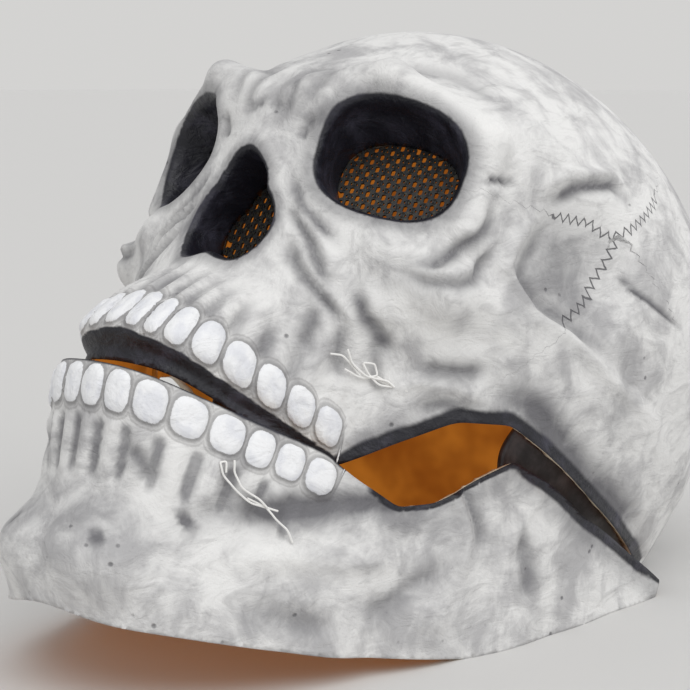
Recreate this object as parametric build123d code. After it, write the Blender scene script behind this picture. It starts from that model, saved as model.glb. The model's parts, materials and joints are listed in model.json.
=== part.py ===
"""Full-head latex skull mask with a moving jaw, resting on its open neck.

Everything is drawn upright, as the mask is worn: x to the wearer's left, y to the back of the head and
z up, in millimetres, with the zero point between the ears.  The finished pieces are then laid back
as the mask rests on a table, on the cut border of its jaw and on its nape.
"""
import os
from math import hypot

from build123d import *

# ---- driving sizes ---------------------------------------------------------------------------
HEAD_WIDTH = 172.0          # outside width of the cranium
HEAD_LENGTH = 238.0         # outside length of the cranium, brow to back
CRANIUM_RISE = 98.5         # height of the crown above the widest level
FACE_HEIGHT = 185.0         # brow to the underside of the chin
WALL = 3.0                  # latex wall of both castings
REST_TILT = 29.0            # degrees the face turns up when the mask lies on a table
REST_DROP = 77.0            # table level below the zero point, square to the table

SOCKET_RIM = (22.0, 18.0)   # half width and half height of an eye socket at its rim
SOCKET_BACK = (19.0, 14.5)  # the same at the back of the recess, where the net lies
SOCKET_DEPTH = 12.0
NOSE_DEPTH = 11.0
NOSE_TAPER = 1.5            # how much the nose recess narrows on each side, front to back
SEPTUM_THICK = 2.6
SEPTUM_SET_BACK = 3.0       # how far the septum's front edge stands behind the nose opening

NET_THICK = 0.8             # net that the wearer looks and breathes through
NET_LAP = 2.5               # how far the net laps on the recess's back edge
BEAD_THICK = 1.4            # bead of latex cement behind the net's border

WEB_THICK = 1.6             # soft latex strip that joins jaw and skull at each side
WEB_LAP = 6.0               # how far the strip laps behind the skull's and the jaw's edges
SOFT_GAP = 0.4              # clearance between a soft strip and a casting's inside
WEB_CLEAR = 1.5             # how far the strip's lower edge stands above the table
WEB_REAR = (70.0, -50.0)    # y and z of its rear end

ELASTIC_WIDTH = 9.0
ELASTIC_THICK = 1.2
ELASTIC_GAP = 0.4           # clearance between an elastic's end and the wall it is sewn to
THREAD_RADIUS = 0.5
STITCH_LENGTH = 9.0         # bar of thread that holds an elastic's end, seen from outside
STITCH_GAP = 0.1            # clearance between thread and latex

# ---- design form -----------------------------------------------------------------------------
# The stations below are drawn for these outside sizes and stretched to the driving sizes, so that the
# face, the jaw and the openings follow the head while walls, net and thread keep their own sizes.
FORM_WIDTH, FORM_LENGTH, FORM_FACE = 172.0, 238.0, 185.0
KX = HEAD_WIDTH / FORM_WIDTH
KY = HEAD_LENGTH / FORM_LENGTH
KZ = FACE_HEIGHT / FORM_FACE

CROWN_LEVEL = 10.6 * KZ     # level of the cranium's widest section
CROWN_Y = 2.6 * KY          # its middle
FAR = 400.0                 # reach of cutting blocks

# level, half width and half length of the cranium's wall below its widest level
SKIRT = [
    (10.6, 86.0, 119.0), (-14.0, 84.5, 117.5), (-38.0, 77.5, 113.5), (-66.0, 68.0, 104.0), (-95.0, 58.0, 92.0),
]

# level, then (x, y) stations of the face's left half from the middle of the front to the cheek's back
FACE = [
    (74.0, [(0, -72), (16, -71), (32, -65), (42, -55), (47, -44), (47, -32), (46, -15)]),
    (52.0, [(0, -110), (22, -109), (42, -101), (58, -87), (66, -70), (66, -50), (62, -15)]),
    (38.0, [(0, -117), (22, -117), (44, -107), (62, -91), (68, -74), (67, -50), (62, -15)]),
    (20.0, [(0, -114), (16, -107), (42, -102), (61, -89), (67, -70), (66, -45), (62, -15)]),
    (0.0, [(0, -113), (18, -109), (42, -101), (62, -88), (69, -66), (70, -42), (66, -15)]),
    (-22.0, [(0, -124), (20, -118), (40, -105), (58, -90), (67, -70), (70, -44), (70, -15)]),
    (-36.0, [(0, -134), (20, -125), (36, -106), (49, -86), (61, -66), (69, -42), (72, -15)]),
    (-50.0, [(0, -142), (20, -131), (35, -107), (46, -85), (59, -61), (69, -39), (72, -15)]),
    (-66.0, [(0, -133), (18, -123), (31, -103), (42, -84), (57, -60), (68, -38), (72, -15)]),
]

# the same for the jaw
JAW = [
    (-34.0, [(0, -148), (20, -139), (34, -112), (46, -86), (60, -58), (69, -28), (73, 5),
             (74, 35), (73, 80)]),
    (-66.0, [(0, -149), (20, -140), (35, -112), (47, -86), (59, -58), (69, -28), (73.5, 5),
             (75, 35), (75, 80)]),
    (-96.0, [(0, -143), (22, -132), (38, -108), (48, -86), (58, -58), (68, -28), (74, 5),
             (76, 35), (77, 80)]),
    (-118.0, [(0, -145), (26, -132), (41, -108), (50, -84), (57, -58), (66, -28), (73, 5),
              (76, 35), (77, 80)]),
    (-138.0, [(0, -138), (24, -126), (40, -104), (49, -82), (56, -58), (65, -28), (73, 5),
              (76, 35), (77, 80)]),
]

# (y, z) lines of the side view: the skull's lower edge and the jaw's upper and lower edges
SKULL_EDGE = [
    (-84, -66), (-74, -53), (-62, -40), (-46, -34), (-30, -36), (5, -41), (35, -44), (64, -46), (70, -60),
]
JAW_TOP = [
    (-90, -66.8), (-80, -70), (-66, -71.5), (-54, -65.5), (-42, -53), (-30, -43.5), (-14, -45), (5, -47.5),
    (35, -49), (62, -50.5),
]
JAW_LOW = [(-156, -124), (-142, -128), (-128, -131), (-112, -127), (-71, -117.5), (-24, -102)]
UPPER_LIP_LEVEL = -58.5     # lower edge of the skull casting at the front, behind the lower teeth
LOWER_TEETH_LEVEL = -62.0   # upper edge of the lower teeth
LIP_STRAIGHT = (-170.0, -140.0)  # y between which that upper edge is level
NAPE = 72.0                 # y behind which the skull casting runs down to the table
JAW_END = 58.0              # y of the jaw casting's rear edge
JAW_END_TOP = -62.0         # its level there
JAW_FRONT = -165.0          # y safely ahead of the chin
LOW = -200.0                # level safely below everything

EYE = (40.0, -99.0, 27.0)   # middle of the left socket's rim
EYE_OUT = (0.32, -0.95, 0.04)
NOSE_MIDDLE = (-112.0, 4.5)  # y and z of the nose opening's middle
NOSE_HALF = [(0, 20), (9, 8), (14.5, -7), (9.5, -15.5), (0, -13)]

ELASTIC_TOP = (-82.0, -38.0)    # y and z where each elastic is sewn to the cheek
ELASTIC_BEND = (-94.0, -65.5)   # where it passes inside the skull casting's edge
ELASTIC_LOW = (-104.0, -85.0)   # where it is sewn to the jaw
ELASTIC_INSIDE = 8.0            # how far it passes inside that edge


# ---- helpers ---------------------------------------------------------------------------------
def form_point(x, y, z):
    """A place on the design form, stretched to the driving sizes."""
    return Vector(x * KX, y * KY, z * KZ)


def inset_row(points, inset):
    """Stations moved inwards by inset, square to the outline, with the first kept on the middle plane."""
    moved = []
    for i, (x, y) in enumerate(points):
        before = points[max(i - 1, 0)]
        after = points[min(i + 1, len(points) - 1)]
        if i == 0:
            before = (-after[0], after[1])
        along_x, along_y = after[0] - before[0], after[1] - before[1]
        length = hypot(along_x, along_y)
        moved.append((x - inset * along_y / length, y + inset * along_x / length))
    return moved


def outline(level, stations, inset):
    """Closed face at one level: a curve round the front and a straight back."""
    half = inset_row([(x * KX, y * KY) for x, y in stations], inset)
    half[0] = (0.0, half[0][1])
    row = [(-x, y) for x, y in reversed(half[1:])] + half
    points = [Vector(x, y, level * KZ) for x, y in row]
    front = Spline(points)
    return make_face([front, Line(points[-1], points[0])])


def form(sections, inset):
    return loft([outline(level, stations, inset) for level, stations in sections])


def ring_face(level, half_width, half_length):
    return Plane((0, CROWN_Y, level)) * Ellipse(half_width, half_length)


def cranium(inset):
    """Upper half of an ellipsoid on a skirt that narrows towards the neck."""
    half_width, half_length = HEAD_WIDTH / 2 - inset, HEAD_LENGTH / 2 - inset
    ball = scale(Sphere(1.0), by=(half_width, half_length, CRANIUM_RISE - inset))
    dome = Pos(0, CROWN_Y, CROWN_LEVEL) * ball
    dome &= Pos(0, 0, CROWN_LEVEL + FAR / 2) * Box(FAR, FAR, FAR)
    rings = [ring_face(level * KZ, wide * KX - inset, long * KY - inset) for level, wide, long in SKIRT]
    return dome + loft(rings)


def side_block(points):
    """Solid across the whole head, from its outline in the side view."""
    row = [(y * KY, z * KZ) for y, z in points]
    return extrude(Plane.YZ * make_face(Polyline(*row, close=True)), amount=FAR / 2, both=True)


def smooth_side_block(curve, closing):
    """The same, with a smooth edge along curve and straight lines through closing."""
    row = [Vector(0, y * KY, z * KZ) for y, z in curve]
    back = [Vector(0, y * KY, z * KZ) for y, z in closing]
    edge = Spline(row)
    rest = Polyline(row[-1], *back, row[0])
    return extrude(make_face([edge, *rest.edges()]), amount=FAR / 2, dir=(1, 0, 0), both=True)


def mirrored(piece):
    return mirror(piece, about=Plane.YZ)


# ---- the table, in the upright frame -----------------------------------------------------------
def above_table(clear=0.0):
    """Everything above the table, from clear upwards."""
    return Rot(REST_TILT, 0, 0) * Pos(0, 0, FAR / 2 - REST_DROP + clear) * Box(2 * FAR, 2 * FAR, FAR)


# ---- skull casting -----------------------------------------------------------------------------
skull_body = cranium(0) + form(FACE, 0)
skull_hollow = cranium(WALL) + form(FACE, WALL)

under_skull = smooth_side_block(
    SKULL_EDGE,
    [
        (NAPE, LOW), (LIP_STRAIGHT[0], LOW), (LIP_STRAIGHT[0], UPPER_LIP_LEVEL),
        (LIP_STRAIGHT[1], UPPER_LIP_LEVEL),
    ],
)

eye_plane = Plane(
    origin=form_point(*EYE),
    z_dir=Vector(*EYE_OUT),
    x_dir=Vector(-EYE_OUT[1], EYE_OUT[0], 0),
)


def taper(plane, front, back, depth, ahead, margin=0.0):
    """Tapered plug with elliptical ends, from ahead of the plane to depth behind it."""
    grow = ahead / depth
    near = (front[0] + (front[0] - back[0]) * grow, front[1] + (front[1] - back[1]) * grow)
    ends = [
        plane.offset(ahead) * Ellipse(near[0] + margin, near[1] + margin),
        plane.offset(-depth) * Ellipse(back[0] + margin, back[1] + margin),
    ]
    return loft(ends)


SOCKET_AHEAD = 30.0
socket_space = taper(eye_plane, SOCKET_RIM, SOCKET_BACK, SOCKET_DEPTH, SOCKET_AHEAD)
socket_cup = taper(eye_plane, SOCKET_RIM, SOCKET_BACK, SOCKET_DEPTH, SOCKET_AHEAD, WALL) & skull_body

nose_plane = Plane(
    origin=(0, NOSE_MIDDLE[0] * KY, NOSE_MIDDLE[1] * KZ), z_dir=(0, -1, 0), x_dir=(1, 0, 0)
)


def pear(margin):
    """The nose opening's outline, grown by margin."""
    half = [(x * KX, z * KZ) for x, z in NOSE_HALF]
    middle_z = (half[0][1] + half[-1][1]) / 2
    grown = []
    for x, z in half:
        reach = hypot(x, z - middle_z)
        factor = (reach + margin) / reach
        grown.append((x * factor, middle_z + (z - middle_z) * factor))
    row = grown + [(-x, z) for x, z in reversed(grown[1:-1])]
    return make_face(Spline([Vector(x, z) for x, z in row], periodic=True))


NOSE_AHEAD = 20.0
nose_space = loft([
    nose_plane.offset(NOSE_AHEAD) * pear(NOSE_TAPER * NOSE_AHEAD / NOSE_DEPTH),
    nose_plane.offset(-NOSE_DEPTH) * pear(-NOSE_TAPER),
])
nose_cup = loft([
    nose_plane.offset(NOSE_AHEAD) * pear(NOSE_TAPER * NOSE_AHEAD / NOSE_DEPTH + WALL),
    nose_plane.offset(-NOSE_DEPTH) * pear(WALL - NOSE_TAPER),
]) & skull_body

septum_block = nose_plane * Pos(0, 0, -(NOSE_DEPTH + SEPTUM_SET_BACK) / 2) * Box(
    SEPTUM_THICK, FAR / 4, NOSE_DEPTH - SEPTUM_SET_BACK
)
septum = septum_block & nose_cup

skull = skull_body - skull_hollow + socket_cup + mirrored(socket_cup) + nose_cup
skull -= socket_space
skull -= mirrored(socket_space)
skull -= nose_space
skull += septum
skull -= under_skull
skull &= above_table()

# ---- jaw casting -------------------------------------------------------------------------------
JAW_BACK_OPEN = 12.0        # how far the hollow runs out past the jaw's ends
jaw_body = form(JAW, 0)
jaw_hollow = form(JAW, WALL)
jaw_hollow += Pos(0, JAW_BACK_OPEN, 0) * jaw_hollow
jaw_side = smooth_side_block(
    JAW_TOP,
    [
        (JAW_END, JAW_END_TOP), (JAW_END, LOW), *JAW_LOW[::-1], (JAW_FRONT, JAW_LOW[0][1]),
        (JAW_FRONT, LOWER_TEETH_LEVEL),
    ],
)
jaw = (jaw_body - jaw_hollow) & jaw_side & above_table()

# ---- soft webs between the castings --------------------------------------------------------------
web_outer = cranium(WALL + SOFT_GAP) & form(JAW, WALL + SOFT_GAP)
web_inner = cranium(WALL + SOFT_GAP + WEB_THICK) & form(JAW, WALL + SOFT_GAP + WEB_THICK)
web_top = [(y, z + WEB_LAP) for y, z in SKULL_EDGE[4:8]]
web_low = [(y, z - WEB_LAP) for y, z in JAW_TOP[5:9]]
web_strip = side_block([*web_top, WEB_REAR, *web_low[::-1]])
web_both = (web_outer - web_inner) & web_strip & above_table(WEB_CLEAR)
left_web = web_both & (Pos(FAR / 2, 0, 0) * Box(FAR, FAR, FAR))

# ---- net and cement ------------------------------------------------------------------------------
net_plane = eye_plane.offset(-SOCKET_DEPTH)
net_size = (SOCKET_BACK[0] + NET_LAP, SOCKET_BACK[1] + NET_LAP)
left_net = extrude(net_plane * Ellipse(*net_size), amount=-NET_THICK)
bead_face = Ellipse(*net_size) - Ellipse(SOCKET_BACK[0], SOCKET_BACK[1])
left_bead = extrude(net_plane.offset(-NET_THICK) * bead_face, amount=-BEAD_THICK)

nose_net_plane = nose_plane.offset(-NOSE_DEPTH)
nose_net = extrude(nose_net_plane * pear(NET_LAP - NOSE_TAPER), amount=-NET_THICK)
nose_bead = extrude(
    nose_net_plane.offset(-NET_THICK) * (pear(NET_LAP - NOSE_TAPER) - pear(-NOSE_TAPER)), amount=-BEAD_THICK
)

# ---- jaw elastics and the thread that holds them ---------------------------------------------------
def wall_hit(body, y, z):
    """Where a line from the middle plane towards the wearer's left leaves body, and the normal there."""
    axis = Axis((0, y * KY, z * KZ), (1, 0, 0))
    hits = [hit for hit in body.find_intersection_points(axis) if hit[0].X > 1]
    point, normal = hits[-1]
    return point, normal if normal.X > 0 else -normal


def strap_end(body, place, clear):
    """Cross-section of an elastic, level, with its back clear of the inside of body."""
    point, normal = wall_hit(body, *place)
    level_out = Vector(normal.X, normal.Y, 0).normalized()
    along = Vector(-level_out.Y, level_out.X, 0)
    middle = point - level_out * (clear + ELASTIC_THICK / 2)
    return Plane(origin=middle, x_dir=along, z_dir=(0, 0, 1)) * Rectangle(ELASTIC_WIDTH, ELASTIC_THICK)


def stitch(body, place):
    """Bar of thread that lies on the outside of body."""
    point, normal = wall_hit(body, *place)
    level_out = Vector(normal.X, normal.Y, 0).normalized()
    along = Vector(-level_out.Y, level_out.X, 0)
    middle = point + normal.normalized() * (STITCH_GAP + THREAD_RADIUS)
    end = Plane(origin=middle, z_dir=along) * Circle(THREAD_RADIUS)
    return extrude(end, amount=STITCH_LENGTH / 2, both=True)


left_elastic = loft(
    [
        strap_end(skull_hollow, ELASTIC_TOP, ELASTIC_GAP),
        strap_end(skull_hollow, ELASTIC_BEND, ELASTIC_INSIDE),
        strap_end(jaw_hollow, ELASTIC_LOW, ELASTIC_GAP),
    ],
    ruled=True,
)
left_cheek_stitch = stitch(skull_body, ELASTIC_TOP)
left_jaw_stitch = stitch(jaw_body, ELASTIC_LOW)

# ---- write ---------------------------------------------------------------------------------------
laid_back = Rot(-REST_TILT, 0, 0)
whole = laid_back * skull + laid_back * jaw
box = whole.bounding_box()
rest = Pos(0, -(box.min.Y + box.max.Y) / 2, REST_DROP) * laid_back

pieces = {
    "skull_shell": skull,
    "jaw_shell": jaw,
    "left_hinge_web": left_web,
    "right_hinge_web": mirrored(left_web),
    "left_eye_mesh": left_net,
    "right_eye_mesh": mirrored(left_net),
    "nose_mesh": nose_net,
    "left_eye_mesh_bond": left_bead,
    "right_eye_mesh_bond": mirrored(left_bead),
    "nose_mesh_bond": nose_bead,
    "left_jaw_elastic": left_elastic,
    "right_jaw_elastic": mirrored(left_elastic),
    "left_cheek_stitch": left_cheek_stitch,
    "right_cheek_stitch": mirrored(left_cheek_stitch),
    "left_jaw_stitch": left_jaw_stitch,
    "right_jaw_stitch": mirrored(left_jaw_stitch),
}

os.makedirs("parts", exist_ok=True)
for name, piece in pieces.items():
    export_step(rest * piece, f"parts/{name}.step")
    size = piece.bounding_box().size
    print(name, len(piece.solids()), "solid", round(piece.volume), "mm3", [round(v, 1) for v in size])
print("table box", box.min, box.max)
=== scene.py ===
# %% [markdown]
# # A latex skull mask with a moving jaw
# The real mask is two hollow castings of painted latex, a skull and a jaw. Soft webs join them, elastics
# pull the jaw shut, and black net closes the eyes and the nose. This notebook loads the designed model,
# whose jaw joint every position below is placed from, and builds the looks around it.

# %% Load the frame
import json
import math

import bpy
import numpy as np
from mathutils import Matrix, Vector


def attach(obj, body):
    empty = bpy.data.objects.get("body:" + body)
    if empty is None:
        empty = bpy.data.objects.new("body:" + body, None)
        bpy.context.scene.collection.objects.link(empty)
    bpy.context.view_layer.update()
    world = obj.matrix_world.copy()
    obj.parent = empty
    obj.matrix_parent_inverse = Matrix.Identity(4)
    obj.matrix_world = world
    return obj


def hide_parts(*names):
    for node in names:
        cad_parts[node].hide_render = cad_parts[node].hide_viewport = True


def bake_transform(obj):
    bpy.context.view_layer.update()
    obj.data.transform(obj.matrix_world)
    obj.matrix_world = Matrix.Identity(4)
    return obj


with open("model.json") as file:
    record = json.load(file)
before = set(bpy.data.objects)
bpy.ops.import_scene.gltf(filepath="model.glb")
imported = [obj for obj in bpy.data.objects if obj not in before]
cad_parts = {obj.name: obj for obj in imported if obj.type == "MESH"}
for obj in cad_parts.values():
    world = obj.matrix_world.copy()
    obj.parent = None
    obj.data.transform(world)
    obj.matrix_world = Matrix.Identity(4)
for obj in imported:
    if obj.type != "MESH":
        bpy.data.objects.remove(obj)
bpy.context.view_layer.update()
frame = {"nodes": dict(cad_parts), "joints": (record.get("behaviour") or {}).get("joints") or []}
hinge = next(joint for joint in frame["joints"] if joint["name"] == "jaw_hinge")
print("pieces in the frame:", len(frame["nodes"]), "hinge at", hinge["pos_m"])

# %% [markdown]
# ## The upright frame
# A head is easiest to shape upright, so all shapes below are in millimetres with x to the wearer's
# left, y to the back and z up. The mask lies back on the table by a known angle, and the jaw's hinge
# is a point known in both frames, so one turn and one shift carry everything into place.

# %% Turn and shift from the upright frame to the model's frame
MM = 0.001
REST_TILT = math.radians(29.0)
HINGE_UPRIGHT = np.array([0.0, 50.0, -46.0])
HINGE_MODEL = np.array(hinge["pos_m"]) / MM
COS, SIN = math.cos(REST_TILT), math.sin(REST_TILT)
LAY_BACK = np.array([[1, 0, 0], [0, COS, SIN], [0, -SIN, COS]])


def lay_back(points):
    """Upright millimetres to the model's metres."""
    turned = (np.asarray(points, float) - HINGE_UPRIGHT) @ LAY_BACK.T
    return (turned + HINGE_MODEL) * MM


def table_height(y, z):
    """Height above the table, in millimetres, of an upright place."""
    return -(y - HINGE_UPRIGHT[1]) * SIN + (z - HINGE_UPRIGHT[2]) * COS + HINGE_MODEL[2]


print("hinge height above the table:", round(float(table_height(50.0, -46.0)), 1), "mm")

# %% [markdown]
# ## Node tools
# Materials and node groups are written as sums: a Value is one output of a node, and adding or
# multiplying two of them adds the node that does so.

# %% Small tools for wiring nodes
class Value:
    """One output in a node tree, which adds, multiplies and so on like a number."""

    def __init__(self, tree, socket):
        self.tree, self.socket = tree, socket

    def calc(self, operation, *inputs):
        node = add_node(self.tree, "ShaderNodeMath", dict(enumerate(inputs)), operation=operation)
        return Value(self.tree, node.outputs[0])

    def __add__(self, other):
        return self.calc("ADD", self, other)

    def __sub__(self, other):
        return self.calc("SUBTRACT", self, other)

    def __rsub__(self, other):
        return self.calc("SUBTRACT", other, self)

    def __mul__(self, other):
        return self.calc("MULTIPLY", self, other)

    def __truediv__(self, other):
        return self.calc("DIVIDE", self, other)

    def __pow__(self, other):
        return self.calc("POWER", self, other)

    def __abs__(self):
        return self.calc("ABSOLUTE", self)

    def step(self, start, end):
        """Smooth step from 0 where the value is start to 1 where it is end."""
        ends = {0: self, 1: start, 2: end, 3: 0.0, 4: 1.0}
        node = add_node(self.tree, "ShaderNodeMapRange", ends, interpolation_type="SMOOTHSTEP")
        return Value(self.tree, node.outputs[0])


def feed(tree, socket, value):
    """Links a value or an output to a socket, or sets the socket to a number, vector or colour."""
    if isinstance(value, Value):
        value = value.socket
    if isinstance(value, bpy.types.NodeSocket):
        tree.links.new(value, socket)
    elif socket.type == "RGBA":
        socket.default_value = (*value, 1)
    else:
        socket.default_value = value


def add_node(tree, kind, inputs=None, **settings):
    """Adds a node, sets its options, and feeds its inputs, which are given by name or number."""
    node = tree.nodes.new(kind)
    for key, value in settings.items():
        setattr(node, key, value)
    for key, value in (inputs or {}).items():
        feed(tree, node.inputs[key], value)
    return node


def mix_colour(factor, first, second):
    """The first colour where factor is 0, the second where it is 1."""
    node = add_node(factor.tree, "ShaderNodeMix", {0: factor, 6: first, 7: second}, data_type="RGBA")
    return Value(factor.tree, node.outputs[2])


def noise(tree, scale, detail, rough, warp=0.0, squash=(1, 1, 1)):
    """Noise over the object's own coordinates, 0 to 1; scale is per metre."""
    place = add_node(tree, "ShaderNodeTexCoord").outputs["Object"]
    moved = add_node(tree, "ShaderNodeMapping", {0: place, "Scale": squash}).outputs[0]
    inputs = {"Vector": moved, "Scale": scale, "Detail": detail, "Roughness": rough, "Distortion": warp}
    return Value(tree, add_node(tree, "ShaderNodeTexNoise", inputs).outputs["Fac"])


def mark(tree, name):
    """A value stored on the mesh's points."""
    return Value(tree, add_node(tree, "ShaderNodeAttribute", attribute_name=name).outputs["Fac"])


def new_material(name, roughness, colour=None):
    material = bpy.data.materials.new(name)
    material.use_nodes = True
    shader = material.node_tree.nodes["Principled BSDF"]
    shader.inputs["Roughness"].default_value = roughness
    if colour:
        shader.inputs["Base Color"].default_value = (*colour, 1)
        material.diffuse_color = (*colour, 1)
    return material, material.node_tree, shader


def new_group(name, kind, inputs, output):
    """A node group with its input and output nodes; inputs are pairs of a name and a socket's type."""
    group = bpy.data.node_groups.new(name, kind)
    for label, socket in inputs:
        group.interface.new_socket(label, in_out="INPUT", socket_type="NodeSocket" + socket)
    group.interface.new_socket(output[0], in_out="OUTPUT", socket_type="NodeSocket" + output[1])
    return group, group.nodes.new("NodeGroupInput"), group.nodes.new("NodeGroupOutput")


print("node tools ready")

# %% [markdown]
# ## Camera, light and table
# A product of this kind is shown with a long lens, a big soft lamp above and to the front, a fill from the
# other side and a pale seamless floor. The light is soft enough that the paint keeps its own colour.

# %% Camera
CAMERA_AIM = (0.0, -0.0151, 0.0866)
CAMERA_AZIMUTH, CAMERA_ELEVATION = math.radians(40.0), math.radians(8.0)
CAMERA_DISTANCE = 0.61
LENS = 97.0

camera_data = bpy.data.cameras.new("camera")
camera_data.lens = LENS
camera_data.sensor_width = 36.0
camera = bpy.data.objects.new("camera", camera_data)
backwards = Vector((
    math.sin(CAMERA_AZIMUTH) * math.cos(CAMERA_ELEVATION),
    -math.cos(CAMERA_AZIMUTH) * math.cos(CAMERA_ELEVATION),
    math.sin(CAMERA_ELEVATION),
))
camera.location = Vector(CAMERA_AIM) + backwards * CAMERA_DISTANCE
camera.rotation_euler = backwards.to_track_quat("Z", "Y").to_euler()
bpy.context.scene.collection.objects.link(camera)
bpy.context.scene.camera = camera
print("camera at", [round(v, 3) for v in camera.location])

# %% Lamps, world and floor
bpy.context.scene.view_settings.view_transform = "Standard"


def soft_sun(name, towards, strength, spread):
    """Even light from one side of the room; spread in degrees sets how soft its shadows are."""
    data = bpy.data.lights.new(name, "SUN")
    data.energy = strength
    data.angle = math.radians(spread)
    lamp = bpy.data.objects.new(name, data)
    lamp.rotation_euler = Vector(towards).to_track_quat("Z", "Y").to_euler()
    bpy.context.scene.collection.objects.link(lamp)


soft_sun("key_lamp", (0.35, -0.35, 0.9), 1.15, 55)
soft_sun("side_lamp", (1.0, -0.1, 0.45), 0.55, 50)
soft_sun("rim_lamp", (0.1, 1.0, 0.6), 0.35, 50)

PAPER = (0.66, 0.655, 0.645)
BACKDROP = (0.655, 0.65, 0.64)
ROOM_LIGHT = 0.52
world = bpy.data.worlds.new("studio")
bpy.context.scene.world = world
world.use_nodes = True
tree = world.node_tree
room = tree.nodes["Background"]
feed(tree, room.inputs["Color"], (1, 1, 1))
feed(tree, room.inputs["Strength"], ROOM_LIGHT)
backdrop = add_node(tree, "ShaderNodeBackground", {"Color": BACKDROP})
ray = add_node(tree, "ShaderNodeLightPath")
inputs = {0: ray.outputs["Is Camera Ray"], 1: room.outputs[0], 2: backdrop.outputs[0]}
choose = add_node(tree, "ShaderNodeMixShader", inputs)
feed(tree, tree.nodes["World Output"].inputs["Surface"], choose.outputs[0])

HALF_FLOOR = 40.0
floor_mesh = bpy.data.meshes.new("floor")
corners = [(-1, -1), (1, -1), (1, 1), (-1, 1)]
floor_mesh.from_pydata([(HALF_FLOOR * x, HALF_FLOOR * y, 0) for x, y in corners], [], [(0, 1, 2, 3)])
floor = bpy.data.objects.new("floor", floor_mesh)
bpy.context.scene.collection.objects.link(floor)
floor_paint, _, floor_shader = new_material("floor_paper", 0.9)
floor_shader.inputs["Base Color"].default_value = (*PAPER, 1)
floor_shader.inputs["Specular IOR Level"].default_value = 0.1
floor.data.materials.append(floor_paint)
print("lamps and floor made")

# %% [markdown]
# ## Fields
# A field is a function that gives each place its distance to a surface, negative inside. Fields are
# joined and carved with minimum and maximum, and softened versions of them round the joins off, much
# as clay does. The castings are thin shells, so a wall is the stretch between a field and the same
# field moved inwards. This suits a skull better than edge loops, because every hole cuts cleanly.

# %% Joining and carving
def soft_min(a, b, soft):
    blend = np.clip(0.5 + 0.5 * (b - a) / soft, 0, 1)
    return b + (a - b) * blend - soft * blend * (1 - blend)


def soft_max(a, b, soft):
    return -soft_min(-a, -b, soft)


def ramp(start, end, value):
    """Smooth step from 0 at start to 1 at end."""
    t = np.clip((value - start) / (end - start), 0, 1)
    return t * t * (3 - 2 * t)


def capsule(x, y, z, a, b, radius_a, radius_b):
    """A bar with round ends at a and b, which may differ in thickness."""
    a, b = np.asarray(a, float), np.asarray(b, float)
    along = b - a
    px, py, pz = x - a[0], y - a[1], z - a[2]
    t = np.clip((px * along[0] + py * along[1] + pz * along[2]) / (along @ along), 0, 1)
    distance = np.sqrt((px - t * along[0]) ** 2 + (py - t * along[1]) ** 2 + (pz - t * along[2]) ** 2)
    return distance - radius_a - (radius_b - radius_a) * t


def ellipsoid(x, y, z, middle, radii):
    px, py, pz = x - middle[0], y - middle[1], z - middle[2]
    near = np.sqrt((px / radii[0]) ** 2 + (py / radii[1]) ** 2 + (pz / radii[2]) ** 2)
    slope = np.sqrt((px / radii[0] ** 2) ** 2 + (py / radii[1] ** 2) ** 2 + (pz / radii[2] ** 2) ** 2)
    return near * (near - 1) / np.maximum(slope, 1e-6)


print("two surfaces 0 mm away, joined over 4 mm:", soft_min(0.0, 0.0, 4.0), "mm")

# %% Forms made of level outlines
def smooth_rows(table, width):
    """Evens a table out along its first direction, with a bell-shaped window."""
    reach = int(3 * width)
    window = np.exp(-0.5 * (np.arange(-reach, reach + 1) / width) ** 2)
    window /= window.sum()
    padded = np.concatenate([np.repeat(table[:1], reach, 0), table, np.repeat(table[-1:], reach, 0)])
    return sum(weight * padded[i : i + len(table)] for i, weight in enumerate(window))


def level_form(sections, middle_y, soft_angle, soft_level):
    """Radius of an outline at each level and angle, 1 mm and 1 degree apart, and its slope."""
    levels = np.array([level for level, stations in sections])[::-1]
    angles = np.arange(0, 181)
    rows = []
    for level, stations in sections[::-1]:
        angle = [math.degrees(math.atan2(x, middle_y - y)) for x, y in stations]
        radius = [math.hypot(x, y - middle_y) for x, y in stations]
        rows.append(np.interp(angles, angle, radius))
    fine = np.arange(math.floor(levels[0]), math.ceil(levels[-1]) + 1)
    table = np.stack([np.interp(fine, levels, column) for column in np.array(rows).T], 1)
    both_sides = np.concatenate([table[:, :0:-1], table], 1)
    table = smooth_rows(both_sides.T, soft_angle).T[:, 180:]
    table = smooth_rows(table, soft_level)
    round_slope = np.gradient(table, axis=1) / table / math.radians(1)
    slope = np.sqrt(1 + round_slope**2 + np.gradient(table, axis=0) ** 2)
    return {"first": fine[0], "radius": table, "slope": slope, "middle_y": middle_y}


def look_up(table, row, column):
    row = np.clip(row, 0, table.shape[0] - 1.001)
    column = np.clip(column, 0, table.shape[1] - 1.001)
    i, j = row.astype(int), column.astype(int)
    u, v = row - i, column - j
    top = table[i, j] * (1 - v) + table[i, j + 1] * v
    low = table[i + 1, j] * (1 - v) + table[i + 1, j + 1] * v
    return top * (1 - u) + low * u


def form_field(form, x, y, z):
    angle = np.degrees(np.arctan2(np.abs(x), form["middle_y"] - y))
    radius = look_up(form["radius"], z - form["first"], angle)
    slope = look_up(form["slope"], z - form["first"], angle)
    return (np.hypot(x, y - form["middle_y"]) - radius) / slope


print("field helpers ready")

# %% [markdown]
# ## The skull's form
# The cranium is half an ellipsoid on a skirt. The face is a stack of outlines, one for each level,
# and the brow, cheekbone and nose bones are rounded bars melted onto it. The muzzle's stations are a
# little squarer than the designed model's.

# %% Stations of the skull, upright millimetres
WALL = 3.0
CROWN = (0.0, 2.6, 10.6)
CROWN_RADII = (86.0, 119.0, 98.5)
MIDDLE_Y = -30.0                       # turns round the face and the jaw are measured about this line
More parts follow.
